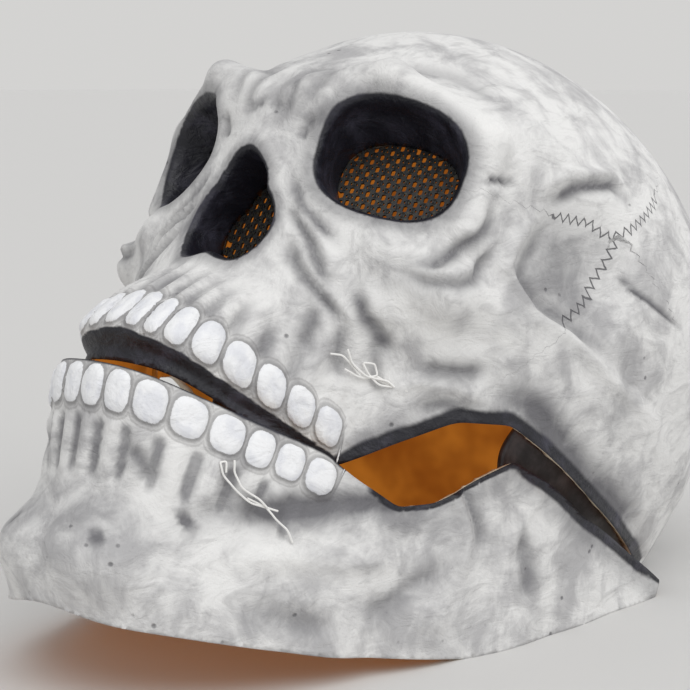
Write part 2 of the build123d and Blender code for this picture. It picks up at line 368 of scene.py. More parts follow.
# level, half width and half length of the cranium's wall below its widest level
SKIRT = np.array([
    (-95.0, 58.0, 92.0), (-66.0, 68.0, 104.0), (-38.0, 77.5, 113.5), (-14.0, 84.5, 117.5),
    (10.6, 86.0, 119.0),
])
# level, then (x, y) stations from the middle of the face to the side
FACE = [
    (74.0, [(0, -72), (16, -71), (32, -65), (42, -55), (47, -44), (47, -32), (46, -15)]),
    (52.0, [(0, -110), (22, -109), (42, -101), (58, -87), (66, -70), (66, -50), (62, -15)]),
    (38.0, [(0, -117), (22, -117), (44, -107), (62, -91), (68, -74), (67, -50), (62, -15)]),
    (20.0, [(0, -114), (16, -107), (42, -102), (61, -89), (67, -70), (66, -45), (62, -15)]),
    (0.0, [(0, -113), (18, -109), (42, -101), (62, -88), (69, -66), (70, -42), (66, -15)]),
    (-22.0, [(0, -124), (20, -118), (40, -105), (58, -90), (67, -70), (70, -44), (70, -15)]),
    (-36.0, [
        (0, -136), (14, -134), (22, -129), (28, -119), (33, -110), (46, -86), (60, -65), (69, -42), (72, -15),
    ]),
    (-50.0, [
        (0, -144), (14, -142.5), (22, -138), (27, -126), (33, -111), (44, -84), (59, -60), (69, -39),
        (72, -15),
    ]),
    (-66.0, [(0, -135), (13, -133), (20, -128), (28, -109), (41, -82), (57, -59), (68, -38), (72, -15)]),
]
face_form = level_form(FACE, MIDDLE_Y, 1.6, 2.6)


def cranium_field(x, y, z):
    dome = ellipsoid(x, y, z, CROWN, CROWN_RADII)
    wide = np.interp(z, SKIRT[:, 0], SKIRT[:, 1])
    long = np.interp(z, SKIRT[:, 0], SKIRT[:, 2])
    py = y - CROWN[1]
    near = np.sqrt((x / wide) ** 2 + (py / long) ** 2)
    slope = np.sqrt((x / wide**2) ** 2 + (py / long**2) ** 2)
    skirt = near * (near - 1) / np.maximum(slope, 1e-6)
    return np.where(z > CROWN[2], dome, skirt)


def skull_form(x, y, z):
    """The skull without sockets, teeth or folds."""
    side = np.abs(x)
    face = soft_max(form_field(face_form, x, y, z), z - 72.0, 6.0)
    head = soft_min(cranium_field(x, y, z), face, 9.0)
    brow = soft_min(
        capsule(side, y, z, (9, -111, 43), (34, -105, 51), 5.5, 6.0),
        capsule(side, y, z, (34, -105, 51), (61, -85, 40), 6.0, 5.5),
        4.0,
    )
    outer_rim = capsule(side, y, z, (61, -85, 40), (63, -84, 12), 5.5, 5.5)
    cheekbone = soft_min(
        capsule(side, y, z, (46, -97, -2), (63, -84, -8), 7.0, 8.0),
        capsule(side, y, z, (63, -84, -8), (73, -40, -4), 8.0, 5.0),
        6.0,
    )
    nose_bones = capsule(side, y, z, (2, -107, 34), (2.5, -112, 21), 6.5, 5.5)
    for bar in (brow, outer_rim, cheekbone, nose_bones):
        head = soft_min(head, bar, 6.0)
    temple = ellipsoid(side, y, z, (87, -52, 22), (17, 30, 26))
    head = soft_max(head, -temple, 9.0)
    cheek_hollow = ellipsoid(side, y, z, (62, -96, -34), (14, 14, 12))
    return soft_max(head, -cheek_hollow, 9.0)


print("cranium half width at its widest:", CROWN_RADII[0], "mm")

# %% Sockets and nose
EYE = np.array([40.5, -98.8, 25.0])
EYE_OUT = np.array([0.38, -0.91, 0.14])
EYE_OUT /= np.linalg.norm(EYE_OUT)
EYE_ACROSS = np.array([-EYE_OUT[1], EYE_OUT[0], 0.0])
EYE_ACROSS /= np.linalg.norm(EYE_ACROSS)
EYE_UP = np.cross(EYE_OUT, EYE_ACROSS)
SOCKET_RIM, SOCKET_BACK, SOCKET_DEPTH = (21.0, 17.0), (18.5, 14.3), 11.5
SOCKET_SQUARE = 2.5         # 2 is an ellipse, more is squarer
NOSE_FRONT, NOSE_DEPTH, NOSE_TAPER = -112.0, 11.0, 1.5
BEHIND = 12.0               # how far a cutting tube runs on behind its recess
NOSE_HALF = [(0, 20), (9, 8), (14.5, -7), (9.5, -15.5), (0, -13)]


def eye_place(x, y, z):
    """Across, up and out of the nearer eye, in millimetres."""
    px, py, pz = np.abs(x) - EYE[0], y - EYE[1], z - EYE[2]
    return tuple(px * axis[0] + py * axis[1] + pz * axis[2] for axis in (EYE_ACROSS, EYE_UP, EYE_OUT))


def socket_field(x, y, z):
    across, up, out = eye_place(x, y, z)
    depth = np.clip(-out / SOCKET_DEPTH, -0.2, 1.0)
    half_wide = SOCKET_RIM[0] + (SOCKET_BACK[0] - SOCKET_RIM[0]) * depth
    half_high = SOCKET_RIM[1] + (SOCKET_BACK[1] - SOCKET_RIM[1]) * depth
    power = np.abs(across / half_wide) ** SOCKET_SQUARE + np.abs(up / half_high) ** SOCKET_SQUARE
    tube = (power ** (1 / SOCKET_SQUARE) - 1) * half_high
    return np.maximum(tube, -out - SOCKET_DEPTH - BEHIND)


nose_turn = [math.degrees(math.atan2(x, z)) for x, z in NOSE_HALF]
nose_reach = [math.hypot(x, z) for x, z in NOSE_HALF]
nose_table = np.interp(np.arange(0, 181), nose_turn, nose_reach)
whole_turn = np.concatenate([nose_table[:0:-1], nose_table, nose_table[-2::-1]])
nose_table = smooth_rows(whole_turn, 4.0)[180:361]


def nose_field(x, y, z):
    turn = np.degrees(np.arctan2(np.abs(x), z))
    depth = np.clip((y - NOSE_FRONT) / NOSE_DEPTH, -1.0, 1.0)
    reach = np.interp(turn, np.arange(0, 181), nose_table) - NOSE_TAPER * depth
    tube = (np.hypot(x, z) - reach) * 0.9
    return np.maximum(tube, y - NOSE_FRONT - NOSE_DEPTH - BEHIND)


print("socket", SOCKET_RIM, "nose reach", [round(float(v), 1) for v in nose_table[::45]])

# %% Edges of the two castings, seen from the side
# (y, z) places from the face to the nape
SKULL_EDGE = [
    (-170, -58.5), (-140, -58.5), (-84, -66), (-74, -53), (-62, -40), (-46, -34), (-30, -36), (5, -41),
    (35, -44), (64, -46), (90, -50),
]
JAW_TOP = [
    (-165, -62), (-90, -63.5), (-80, -67), (-66, -69.5), (-55, -64), (-44, -51), (-33, -41.2), (-16, -42.3),
    (5, -45.3), (35, -47.5), (62, -50.5),
]
JAW_LOW = [
    (-165, -124), (-156, -124), (-142, -128), (-128, -131), (-112, -127), (-71, -117.5), (-24, -102),
    (62, -60),
]
SKULL_NAPE, JAW_END = 67.0, 58.0


def edge_line(points, soft):
    """Height of an edge for each y, evened out so that it has no corners, and its slope."""
    y = np.arange(-180, 101, 1.0)
    points = np.array(points, float)
    z = np.interp(y, points[:, 0], points[:, 1])
    z = smooth_rows(z, soft)
    return y, z, np.sqrt(1 + np.gradient(z, y) ** 2)


skull_edge = edge_line(SKULL_EDGE, 1.6)
jaw_top = edge_line(JAW_TOP, 1.6)
jaw_low = edge_line(JAW_LOW, 3.0)


def above_edge(edge, y, z):
    """Distance above an edge, negative below it."""
    return (z - np.interp(y, edge[0], edge[1])) / np.interp(y, edge[0], edge[2])


def skull_surface(x, y, z):
    """Outside of the skull casting with its sockets and nose, as if it were filled."""
    outer = soft_max(skull_form(x, y, z), -socket_field(x, y, z), 3.5)
    return soft_max(outer, -nose_field(x, y, z), 2.5)


def skull_waste(x, y, z):
    """Above zero where the casting is cut away: below its edge, under the table, behind the recesses."""
    out = eye_place(x, y, z)[2]
    below = np.minimum(-above_edge(skull_edge, y, z), SKULL_NAPE - y)
    behind_eye = np.minimum(-out - SOCKET_DEPTH, 2.0 - socket_field(x, y, z))
    behind_nose = np.minimum(y - NOSE_FRONT - NOSE_DEPTH, 2.0 - nose_field(x, y, z))
    return np.maximum(np.maximum(below, -table_height(y, z)), np.maximum(behind_eye, behind_nose))


print("edge points:", len(SKULL_EDGE), len(JAW_TOP), len(JAW_LOW))

# %% The jaw's form
JAW = [
    (-34.0, [
        (0, -148), (13, -146), (21, -139), (27, -127), (34, -112), (46, -86), (60, -58), (69, -28),
        (73, 5), (74, 35), (73, 80),
    ]),
    (-66.0, [
        (0, -149), (13, -147), (21, -140), (27, -128), (35, -112), (47, -86), (59, -58), (69, -28),
        (73.5, 5), (75, 35), (75, 80),
    ]),
    (-96.0, [
        (0, -141), (22, -131), (38, -108), (48, -86), (58, -58), (68, -28), (74, 5), (76, 35), (77, 80),
    ]),
    (-118.0, [
        (0, -140), (24, -130), (41, -108), (50, -84), (57, -58), (66, -28), (73, 5), (76, 35), (77, 80),
    ]),
    (-138.0, [
        (0, -130), (22, -122), (40, -104), (49, -82), (56, -58), (65, -28), (73, 5), (76, 35), (77, 80),
    ]),
]
jaw_form_table = level_form(JAW, MIDDLE_Y, 1.6, 3.5)


def jaw_form(x, y, z):
    side = np.abs(x)
    jaw = form_field(jaw_form_table, x, y, z)
    chin = ellipsoid(side, y, z, (11, -128, -114), (15, 14, 12))
    return soft_min(jaw, chin, 8.0)


def jaw_waste(x, y, z):
    away = np.maximum(above_edge(jaw_top, y, z), -above_edge(jaw_low, y, z))
    return np.maximum(np.maximum(away, y - JAW_END), -table_height(y, z))


print("jaw levels:", [level for level, stations in JAW])

# %% [markdown]
# ## From a field to a mesh
# Surface nets put one point in each grid cell that the surface passes through, at the mean of the places
# where it crosses the cell's edges, and join the points of the four cells round each crossed edge.
# The grid is fine over the face, where the detail is, and coarser at the back of the head.

# %% Surface nets
def grid_line(low, high, spacing):
    """Positions from low to high whose spacing is a function of the position."""
    line = [low]
    while line[-1] < high:
        line.append(line[-1] + spacing(line[-1]))
    return np.array(line)


def cells_round(where, axis):
    """The four grid cells round each edge that runs along axis, in order round it."""
    for s, t in ((1, 1), (0, 1), (0, 0), (1, 0)):
        cell = where.copy()
        cell[:, (axis + 1) % 3] -= s
        cell[:, (axis + 2) % 3] -= t
        yield cell


def surface_net(field, axes):
    """Points and squares of the surface where field is zero on a grid with the given axes."""
    x, y, z = np.meshgrid(*axes, indexing="ij")
    value = field(x, y, z)
    inside = value < 0
    shape = np.array(value.shape) - 1
    total = np.zeros((*shape, 3))
    count = np.zeros(shape)
    crossings = []
    for axis in range(3):
        near, far = [slice(None)] * 3, [slice(None)] * 3
        near[axis], far[axis] = slice(0, -1), slice(1, None)
        crossed = inside[tuple(near)] != inside[tuple(far)]
        crossings.append(crossed)
        where = np.argwhere(crossed)
        a, b = value[tuple(near)][crossed], value[tuple(far)][crossed]
        place = where.astype(float)
        place[:, axis] += a / (a - b)
        for cell in cells_round(where, axis):
            fits = np.all((cell >= 0) & (cell < shape), 1)
            index = tuple(cell[fits].T)
            np.add.at(total, index, place[fits])
            np.add.at(count, index, 1)
    used = count > 0
    number = np.full(shape, -1)
    number[used] = np.arange(used.sum())
    mean = total[used] / count[used][:, None]
    points = np.stack([np.interp(mean[:, k], np.arange(len(axes[k])), axes[k]) for k in range(3)], 1)
    squares = []
    for axis in range(3):
        where = np.argwhere(crossings[axis])
        others = [(axis + 1) % 3, (axis + 2) % 3]
        keep = np.all(where[:, others] > 0, 1) & np.all(where[:, others] < shape[others], 1)
        where = where[keep]
        quad = np.stack([number[tuple(cell.T)] for cell in cells_round(where, axis)], 1)
        outwards = inside[tuple(where.T)]
        quad[~outwards] = quad[~outwards][:, ::-1]
        squares.append(quad)
    return points, np.concatenate(squares)


def ball(x, y, z):
    return np.sqrt(x**2 + y**2 + z**2) - 5.0


print("a 5 mm ball on a 1 mm grid:", len(surface_net(ball, [np.arange(-6.0, 7.0)] * 3)[0]), "points")

# %% Slope of a field, and moving points onto its surface
LEAST_SLOPE = 0.3           # a field's slope is taken as at least this when a point is moved by it


def slope_of(field, points, reach=0.4):
    """Unit direction in which a field grows."""
    steps = []
    for k in range(3):
        ahead, behind = points.copy(), points.copy()
        ahead[:, k] += reach
        behind[:, k] -= reach
        steps.append(field(*ahead.T) - field(*behind.T))
    slope = np.stack(steps, 1) / (2 * reach)
    length = np.linalg.norm(slope, axis=1)[:, None]
    return slope / np.maximum(length, 1e-6), length[:, 0]


def settle(field, points, rounds=2):
    """Moves points onto the surface."""
    for _ in range(rounds):
        direction, length = slope_of(field, points)
        shift = np.clip(field(*points.T) / np.maximum(length, LEAST_SLOPE), -1, 1)
        points = points - direction * shift[:, None]
    return points


print("a point moved onto the ball:", settle(ball, np.array([[3.0, 4.0, 0.5]])).round(3).tolist())

# %% [markdown]
# Scissors leave a clean edge. The points nearest a cut are first slid onto it, then every square that
# still straddles it is clipped, so the edge follows the cut and not the grid.

# %% Trimming and thickening
def trim(points, squares, field, waste, snap):
    """Keeps the part of a skin where waste is below zero."""
    for _ in range(3):
        amount = waste(*points.T)
        near = np.abs(amount) < snap
        direction, length = slope_of(waste, points[near])
        normal, _ = slope_of(field, points[near])
        direction -= normal * np.sum(direction * normal, 1)[:, None]
        size = np.sum(direction**2, 1)
        usable = size > 0.05
        shift = np.zeros_like(direction)
        step = amount[near][usable] / size[usable] / np.maximum(length[usable], LEAST_SLOPE)
        shift[usable] = -direction[usable] * step[:, None]
        points = points.copy()
        points[near] += np.clip(shift, -snap, snap)
    amount = waste(*points.T)
    amount[np.abs(amount) < 0.02] = 0.0
    keep = amount <= 0
    corner_kept = keep[squares]
    whole = corner_kept.all(1)
    faces = [tuple(f) for f in squares[whole]]
    extra, made = [], {}

    def crossing(i, j):
        key = (min(i, j), max(i, j))
        if key not in made:
            t = amount[i] / (amount[i] - amount[j])
            made[key] = len(points) + len(extra)
            extra.append(points[i] * (1 - t) + points[j] * t)
        return made[key]

    for square in squares[corner_kept.any(1) & ~whole]:
        ring = []
        for k in range(4):
            i, j = int(square[k]), int(square[(k + 1) % 4])
            if keep[i]:
                ring.append(i)
            if (amount[i] < 0 < amount[j]) or (amount[j] < 0 < amount[i]):
                ring.append(crossing(i, j))
        if len(set(ring)) >= 3:
            faces.append(tuple(ring))
    points = np.concatenate([points, np.array(extra).reshape(-1, 3)])
    used = np.zeros(len(points), bool)
    used[[i for f in faces for i in f]] = True
    number = np.cumsum(used) - 1
    return points[used], [tuple(int(number[i]) for i in f) for f in faces]


def border(faces):
    """Directed edges that only one face uses."""
    edges = {}
    for face in faces:
        for k in range(len(face)):
            i, j = face[k], face[(k + 1) % len(face)]
            if (j, i) in edges:
                edges[(j, i)] = False
            else:
                edges[(i, j)] = True
    return [edge for edge, single in edges.items() if single]


def even_out(values, faces, rounds):
    """Averages values over neighbouring points."""
    pairs = np.array([(f[k], f[(k + 1) % len(f)]) for f in faces for k in range(len(f))])
    count = np.bincount(pairs.ravel(), minlength=len(values))
    for _ in range(rounds):
        total = np.zeros_like(values)
        np.add.at(total, pairs[:, 0], values[pairs[:, 1]])
        np.add.at(total, pairs[:, 1], values[pairs[:, 0]])
        values = 0.5 * values + 0.5 * total / count[:, None]
    return values


def closed_sheet(front, back, faces):
    """Points and faces of a solid from its front, its back and the faces that both of them have."""
    count = len(front)
    rim = [(j, i, i + count, j + count) for i, j in border(faces)]
    behind = [tuple(i + count for i in reversed(f)) for f in faces]
    return np.concatenate([front, back]), list(faces) + rim + behind


def thicken(points, raised, normals, faces, wall):
    """Closed casting: raised skin outside, its plain inside a wall away, and a rim between them."""
    inner = even_out(points - normals * wall, faces, 2)
    places, body = closed_sheet(raised, inner, faces)
    kinds = [0] * len(faces) + [1] * (len(body) - 2 * len(faces)) + [2] * len(faces)
    return places, body, kinds


def add_object(name, points, faces, kinds=None):
    """A mesh object from upright millimetres, laid back into the model's frame."""
    mesh = bpy.data.meshes.new(name)
    mesh.from_pydata(lay_back(points).tolist(), [], [list(f) for f in faces])
    if kinds is not None:
        mesh.polygons.foreach_set("material_index", kinds)
    mesh.update()
    piece = bpy.data.objects.new(name, mesh)
    bpy.context.scene.collection.objects.link(piece)
    mesh.shade_smooth()
    return piece


ROUGH = 1.0
print("grid scale", ROUGH)

# %% Skins of the two castings
skull_axes = [
    grid_line(-93.3, 93.0, lambda v: 1.6 * ROUGH),
    grid_line(-153.0, 126.0, lambda v: ROUGH * float(np.interp(v, [-70, 20], [1.35, 2.6]))),
    grid_line(-72.0, 113.0, lambda v: ROUGH * float(np.interp(v, [-30, 70], [1.3, 2.2]))),
]
skull_net, skull_squares = surface_net(skull_surface, skull_axes)
skull_net = settle(skull_surface, skull_net)
skull_skin, skull_faces = trim(skull_net, skull_squares, skull_surface, skull_waste, 0.5 * ROUGH)
print("skull skin:", len(skull_skin), "points")
jaw_axes = [
    grid_line(-82.3, 82.0, lambda v: 1.4 * ROUGH),
    grid_line(-159.0, 64.0, lambda v: ROUGH * float(np.interp(v, [-70, 20], [1.3, 2.4]))),
    grid_line(-137.0, -39.0, lambda v: 1.3 * ROUGH),
]
jaw_net, jaw_squares = surface_net(jaw_form, jaw_axes)
jaw_net = settle(jaw_form, jaw_net)
jaw_skin, jaw_faces = trim(jaw_net, jaw_squares, jaw_form, jaw_waste, 0.5 * ROUGH)
print("jaw skin:", len(jaw_skin), "points")

# %% [markdown]
# ## Teeth, folds and paint areas
# The relief is measured on the head itself: turn is the angle round from the middle of the face, in
# degrees, and level is the height, in millimetres. Teeth are counted along the arch, so that one smooth
# number, place, passes a whole number at every gap between teeth, and another, reach, goes from 0 at the
# biting edge to 1 at the gum. The same two numbers shape the relief here and draw the paint later.

# %% Measures on the head
UPPER_GAPS = [0, 8, 15, 23.5, 34, 46, 57, 67.5, 78.5, 91, 104]
LOWER_GAPS = [0, 8, 16.5, 27.5, 40, 52, 61.5, 71.5, 83, 95]
TEETH = 8                   # a side, in each row
TOOTH_HALF_WIDE, TOOTH_HALF_HIGH, TOOTH_SQUARE = 0.45, 0.52, 2.8


def turn_of(points):
    return np.degrees(np.arctan2(np.abs(points[:, 0]), MIDDLE_Y - points[:, 1]))


def arc_of(form, level, points):
    """Distance along the outline at one level from the middle of the face, in millimetres."""
    row = form["radius"][int(level - form["first"])]
    step = np.hypot(row, np.gradient(row, math.radians(1))) * math.radians(1)
    total = np.concatenate([[0], np.cumsum(0.5 * (step[1:] + step[:-1]))])
    return np.interp(turn_of(points), np.arange(len(row)), total)


def tooth_place(arc, gaps):
    return np.interp(arc, gaps, np.arange(len(gaps)))


def tooth_inside(place, reach):
    """1 at the middle of a tooth, 0 on its outline, less outside."""
    across = np.abs(place - np.floor(place) - 0.5) / TOOTH_HALF_WIDE
    along = np.abs(reach - 0.5) / TOOTH_HALF_HIGH
    return 1 - (across**TOOTH_SQUARE + along**TOOTH_SQUARE) ** (1 / TOOTH_SQUARE)


def past_row(place):
    """Carries reach out of a tooth's range behind the last tooth of a row."""
    return 6.0 * ramp(TEETH + 0.02, TEETH + 0.4, place)


upper_arc = arc_of(face_form, -50, skull_skin)
upper_place = tooth_place(upper_arc, UPPER_GAPS)
upper_edge = -48.0 - 0.165 * upper_arc
upper_reach = (skull_skin[:, 2] - upper_edge) / (13.2 - 0.045 * upper_arc)
upper_reach = upper_reach + past_row(upper_place)
lower_arc = arc_of(jaw_form_table, -70, jaw_skin)
lower_place = tooth_place(lower_arc, LOWER_GAPS)
lower_reach = (-63.0 - 0.03 * lower_arc - jaw_skin[:, 2]) / (11.6 - 0.02 * lower_arc)
lower_reach = lower_reach + past_row(lower_place)
print("teeth a side in each row:", TEETH)

# %% Folds of the skull
# Each stroke is a line of (turn, level) places with its half width, its height (below zero for a
# groove) in millimetres, and how grey the airbrush left it.
SKULL_STROKES = [
    ([(52, 24), (53, 18), (52, 10), (49, 4), (44, -3), (39, -5)], 1.9, -1.0, 0.6),
    ([(57, 12), (54, -1), (50, -7), (44, -9), (37, -7)], 1.9, -0.9, 0.5),
    ([(56, 15), (53, 1), (48, -5), (40, -6)], 1.5, 0.7, 0.0),
    ([(63, 36), (66, 29), (60, 15), (61, 7), (71, -2), (82, -2), (98, -7), (119, -10)], 2.6, 1.4, 0.0),
    ([(70, 34), (71, 27), (66, 15), (67, 9), (74, 4), (84, 4), (98, -1)], 3.2, -1.0, 0.5),
    ([(63, 36), (74, 48), (87, 57), (92, 55)], 2.0, 1.1, 0.0),
    ([(67, 34), (76, 44), (87, 53), (93, 51)], 1.8, -0.8, 0.7),
    ([(49, 27), (52, 30), (56, 33)], 0.9, -0.9, 0.9),
    ([(33, -15), (35, -23), (43, -29)], 2.2, -1.3, 0.75),
    ([(10, 15), (16, 5), (25, -4)], 1.6, -0.9, 0.5),
    ([(12, 5), (20, -7), (28, -19)], 1.6, -0.9, 0.5),
    ([(14, -6), (22, -17), (32, -28)], 1.6, -0.9, 0.5),
    ([(13, 10), (19, -1), (27, -12)], 1.5, 0.8, 0.0),
    ([(14, -1), (22, -13), (31, -24)], 1.5, 0.8, 0.0),
    ([(11, 25), (12, 34)], 1.7, -0.9, 0.5),
    ([(4, 34), (0, 38)], 1.6, -0.7, 0.45),
    ([(4, 30), (6, 42), (5, 56)], 1.8, -0.7, 0.35),
    ([(9, 36), (12, 45), (12, 58)], 2.0, -0.6, 0.3),
    ([(2, 47), (14, 56), (26, 62)], 2.4, -0.6, 0.3),
    ([(20, 60), (35, 64), (50, 60)], 3.0, -0.5, 0.3),
    ([(68, -28), (79, -26), (93, -31), (112, -37), (137, -39)], 4.5, -1.2, 0.9),
    ([(50, -31), (57, -28), (65, -23)], 2.4, -1.0, 0.5),
    ([(44, -40), (52, -34), (60, -31), (70, -31)], 2.4, 1.0, 0.0),
    ([(52, -42), (60, -37), (70, -36)], 2.0, -0.8, 0.5),
    ([(93, 27), (100, 23), (117, 24)], 0.8, -0.6, 0.95),
    ([(98, 6), (104, -8), (108, -22)], 4.0, -0.5, 0.2),
    ([(30, -26), (33, -34), (34, -42)], 1.8, -0.8, 0.4),
    ([(38, -26), (41, -34), (43, -41)], 1.8, -0.8, 0.4),
    ([(24, -24), (26, -31), (27, -38)], 1.6, -0.7, 0.4),
]
print("strokes on the skull:", len(SKULL_STROKES))

# %% Folds of the jaw, sutures and pale patches
JAW_STROKES = [
    ([(19, -96), (23, -90), (40, -78), (69, -62)], 3.6, -1.3, 0.95),
    ([(18, -98), (20, -95)], 2.4, -0.9, 1.0),
    ([(8, -110), (10, -108)], 3.0, -0.7, 0.6),
    ([(8, -82), (12, -90)], 2.2, -0.8, 0.5),
    ([(24, -104), (36, -96), (50, -90), (62, -84)], 3.6, 1.2, 0.0),
    ([(37, -107), (45, -104)], 5.0, 0.8, 0.0),
    ([(72, -98), (84, -94)], 5.0, 0.9, 0.0),
    ([(30, -115), (40, -112), (52, -110)], 4.0, -0.9, 0.3),
    ([(56, -101), (64, -98), (70, -88), (78, -80)], 3.6, -1.0, 0.35),
    ([(68, -54), (74, -62), (80, -72), (84, -84)], 2.8, 1.2, 0.0),
    ([(72, -52), (79, -60), (86, -70)], 2.4, -1.0, 0.55),
    ([(90, -45), (98, -49), (93, -71)], 2.8, 1.0, 0.0),
    ([(95, -60), (101, -68), (106, -78)], 3.5, -1.0, 0.45),
]
SUTURES = [
    [(72, 33), (82, 37), (89, 36), (97, 47), (107, 62)],
    [(91, 36), (91, 27), (89, 15), (83, 3)],
]
# turn, level, half width in degrees and half height in millimetres
PALE = [
    (40, -17, 7, 4), (50, -20, 6, 3.5), (60, -20, 5, 4), (66, -13, 5, 3), (48, 44, 9, 6), (84, -2, 12, 2.5),
    (34, -96, 9, 4),
]
print("strokes on the jaw:", len(JAW_STROKES), "sutures:", len(SUTURES), "pale patches:", len(PALE))

# %% Carving along the strokes
UNROLLED = math.radians(1) * 84.0      # millimetres to a degree, near enough
FOLD_HEIGHT, FOLD_GREY = 1.8, 1.5      # both scale all strokes at once
DEEPEST, HIGHEST = -1.8, 2.8


def path_measures(turn, level, path):
    """Distance from a path, signed distance to its left, and the way along it, all in millimetres."""
    best = np.full(len(turn), 1e9)
    left, along = np.zeros(len(turn)), np.zeros(len(turn))
    way = 0.0
    for (t0, l0), (t1, l1) in zip(path[:-1], path[1:]):
        dx, dy = (t1 - t0) * UNROLLED, l1 - l0
        length = math.hypot(dx, dy)
        px, py = (turn - t0) * UNROLLED, level - l0
        t = np.clip((px * dx + py * dy) / length**2, 0, 1)
        distance = np.hypot(px - t * dx, py - t * dy)
        closer = distance < best
        best[closer] = distance[closer]
        left[closer] = ((px * dy - py * dx) / length)[closer]
        along[closer] = (way + t * length)[closer]
        way += length
    return best, left, along, way


def carve(points, strokes):
    turn, level = turn_of(points), points[:, 2]
    turn = turn + 0.6 * np.sin(level * 0.31) + 0.4 * np.sin(level * 0.13 + points[:, 0] * 0.2)
    height, grey = np.zeros(len(points)), np.zeros(len(points))
    for path, half_width, rise, shade in strokes:
        distance, _, along, way = path_measures(turn, level, path)
        taper = ramp(-0.02, 0.25, along / way) * ramp(1.02, 0.75, along / way) * 0.8 + 0.2
        bell = np.exp(-((distance / half_width) ** 2)) * taper
        height += FOLD_HEIGHT * rise * bell
        soft_bell = np.exp(-((distance / (half_width * 1.25)) ** 2))
        grey = np.maximum(grey, np.minimum(FOLD_GREY * shade, 1.0) * soft_bell * taper)
    return np.clip(height, DEEPEST, HIGHEST), grey


def pale_areas(points):
    """1 at the middle of each pale patch: turn, level and half sizes, 0 away from them."""
    turn, level = turn_of(points), points[:, 2]
    near = [((turn - t) / wide) ** 2 + ((level - l) / high) ** 2 for t, l, wide, high in PALE]
    return np.exp(-np.min(near, axis=0))


highest = max(rise for _, _, rise, _ in SKULL_STROKES)
print("highest stroke:", round(FOLD_HEIGHT * highest, 1), "mm")

# %% Relief and paint areas of the skull
skull_normals, _ = slope_of(skull_surface, skull_skin)
x, y, z = skull_skin.T
socket, nose = socket_field(x, y, z), nose_field(x, y, z)
near_edge = np.where(y < SKULL_NAPE, above_edge(skull_edge, y, z), 99.0)
calm = ramp(0.0, 3.0, np.minimum(np.minimum(socket, nose), near_edge))
height, grey = carve(skull_skin, SKULL_STROKES)
inside = tooth_inside(upper_place, upper_reach)
height += 1.5 * ramp(-0.12, 0.3, inside)
over_gum = ramp(0.9, 1.15, upper_reach) * ramp(2.6, 1.5, upper_reach) * (upper_place < 7.9)
roots = np.cos(2 * math.pi * (upper_place - 0.5)) * over_gum
height += 0.9 * roots
between = ramp(0.9, 1.1, upper_reach) * ramp(2.4, 1.4, upper_reach) * (upper_place < 6.5)
grey = np.maximum(grey, 0.55 * ramp(0.3, -0.8, roots) * between)
band = ramp(-0.02, -0.16, (z - upper_edge) / 13.0) * ramp(-60.0, -76.0, y)
height -= 1.6 * band * ramp(-1.0, -6.0, z - upper_edge)
skull_raised = skull_skin + skull_normals * (height * calm)[:, None]

dark = np.maximum(ramp(2.6, 0.2, socket), ramp(2.4, 0.2, nose))
dark = np.maximum(dark, band * (z < -40))
dark = np.maximum(dark, ramp(7.0, 1.5, near_edge) * ramp(-92, -80, y) * 0.95)
dark = np.maximum(dark, ramp(-64.0, -68.0, z))
grey = np.maximum(grey, 0.5 * ramp(10, 3, near_edge) * ramp(-92, -80, y))
grey = np.maximum(grey, 0.6 * ramp(7.0, 2.0, socket) * (socket > 0))
grey = np.maximum(grey, 0.6 * ramp(6.0, 1.5, nose))
temple = np.exp(-((turn_of(skull_skin) - 78) / 13) ** 2 - ((z - 18) / 17) ** 2)
grey = np.maximum(grey, 0.6 * temple)
suture_left, suture_along = np.full(len(skull_skin), 99.0), np.zeros(len(skull_skin))
for path in SUTURES:
    distance, left, along, _ = path_measures(turn_of(skull_skin), z, path)
    closer = distance < np.abs(suture_left)
    suture_left[closer], suture_along[closer] = (np.sign(left) * distance)[closer], along[closer]
skull_marks = {
    "tooth_place": upper_place, "tooth_reach": upper_reach,
    "dark": dark, "grey": grey, "suture_left": suture_left, "suture_along": suture_along,
    "pale": pale_areas(skull_skin),
}
print("skull relief from", round(float(height.min()), 1), "to", round(float(height.max()), 1), "mm")

# %% Relief and paint areas of the jaw
jaw_normals, _ = slope_of(jaw_form, jaw_skin)
x, y, z = jaw_skin.T
under_edge = -above_edge(jaw_top, y, z)
calm = ramp(0.0, 2.0, np.minimum(under_edge, above_edge(jaw_low, y, z)))
height, grey = carve(jaw_skin, JAW_STROKES)
inside = tooth_inside(lower_place, lower_reach)
height += 1.4 * ramp(-0.12, 0.3, inside)
under_gum = ramp(1.1, 1.4, lower_reach) * ramp(2.9, 2.2, lower_reach) * (lower_place < 7.4)
hollows = np.cos(2 * math.pi * lower_place) * under_gum
height -= 0.9 * hollows
grey = np.maximum(grey, 0.75 * ramp(0.1, 0.8, hollows))
jaw_raised = jaw_skin + jaw_normals * (height * (0.15 + 0.85 * calm))[:, None]
dark = ramp(6.0, 1.0, under_edge) * ramp(-40, -24, y) * ramp(66, 40, y)
dark = np.maximum(dark, ramp(2.6, 0.6, under_edge) * ramp(-84, -70, y))
dark = np.maximum(dark, 0.75 * ramp(1.2, 0.2, under_edge) * (y < -84))
grey = np.maximum(grey, 0.5 * ramp(12, 4, under_edge) * ramp(-88, -74, y))
grey = np.maximum(grey, 0.35 * np.exp(-((turn_of(jaw_skin) - 6) / 9) ** 2 - ((z + 104) / 7) ** 2))
jaw_marks = {
    "tooth_place": lower_place, "tooth_reach": lower_reach,
    "dark": dark, "grey": grey, "pale": pale_areas(jaw_skin),
    "suture_left": np.full(len(x), 99.0), "suture_along": np.zeros(len(x)),
}
print("jaw relief from", round(float(height.min()), 1), "to", round(float(height.max()), 1), "mm")

